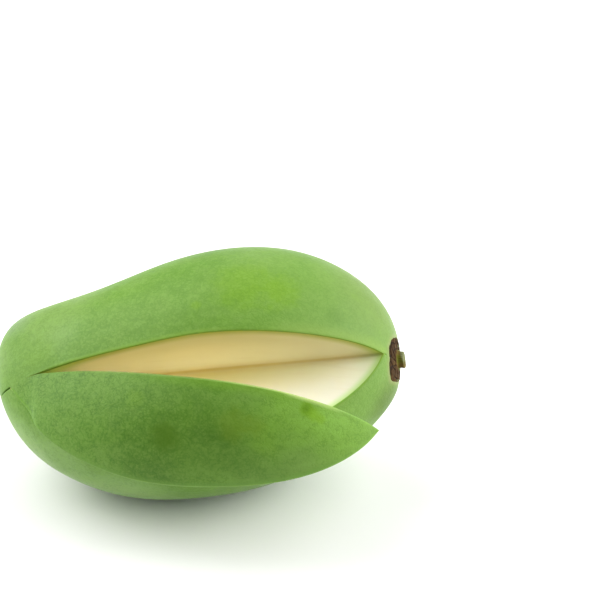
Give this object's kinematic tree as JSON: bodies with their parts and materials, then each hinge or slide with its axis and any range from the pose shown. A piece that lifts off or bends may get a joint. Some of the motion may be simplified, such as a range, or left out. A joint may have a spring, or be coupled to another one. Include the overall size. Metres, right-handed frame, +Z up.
{
  "type": "mango",
  "caption": "Whole green mango lying on its cheek, with a wedge-shaped slice cut from its side and slid outwards to show the pale flesh, and a corky stalk stub.",
  "frame": {"origin": "on the surface that the fruit lies on, under the middle of the bounding box", "axes": "+X along the fruit towards the stem end, -Y towards the side that is cut, +Z up"},
  "size_m": [0.1448, 0.1039, 0.0862],
  "materials": {
    "fruit_skin": "green mango skin with a waxy bloom and fine lighter specks, satin; the two cut faces are pale cream flesh with a thin green line under the skin",
    "slice_skin": "green mango skin, a shade deeper than the fruit's, satin; its two cut faces are pale cream flesh",
    "cork": "dry, cracked brown cork with a greenish tan stub, matt"
  },
  "bodies": {
    "root": {"fruit": "fruit_skin", "slice": "slice_skin", "stalk_stub": "cork"}
  },
  "joints": []
}
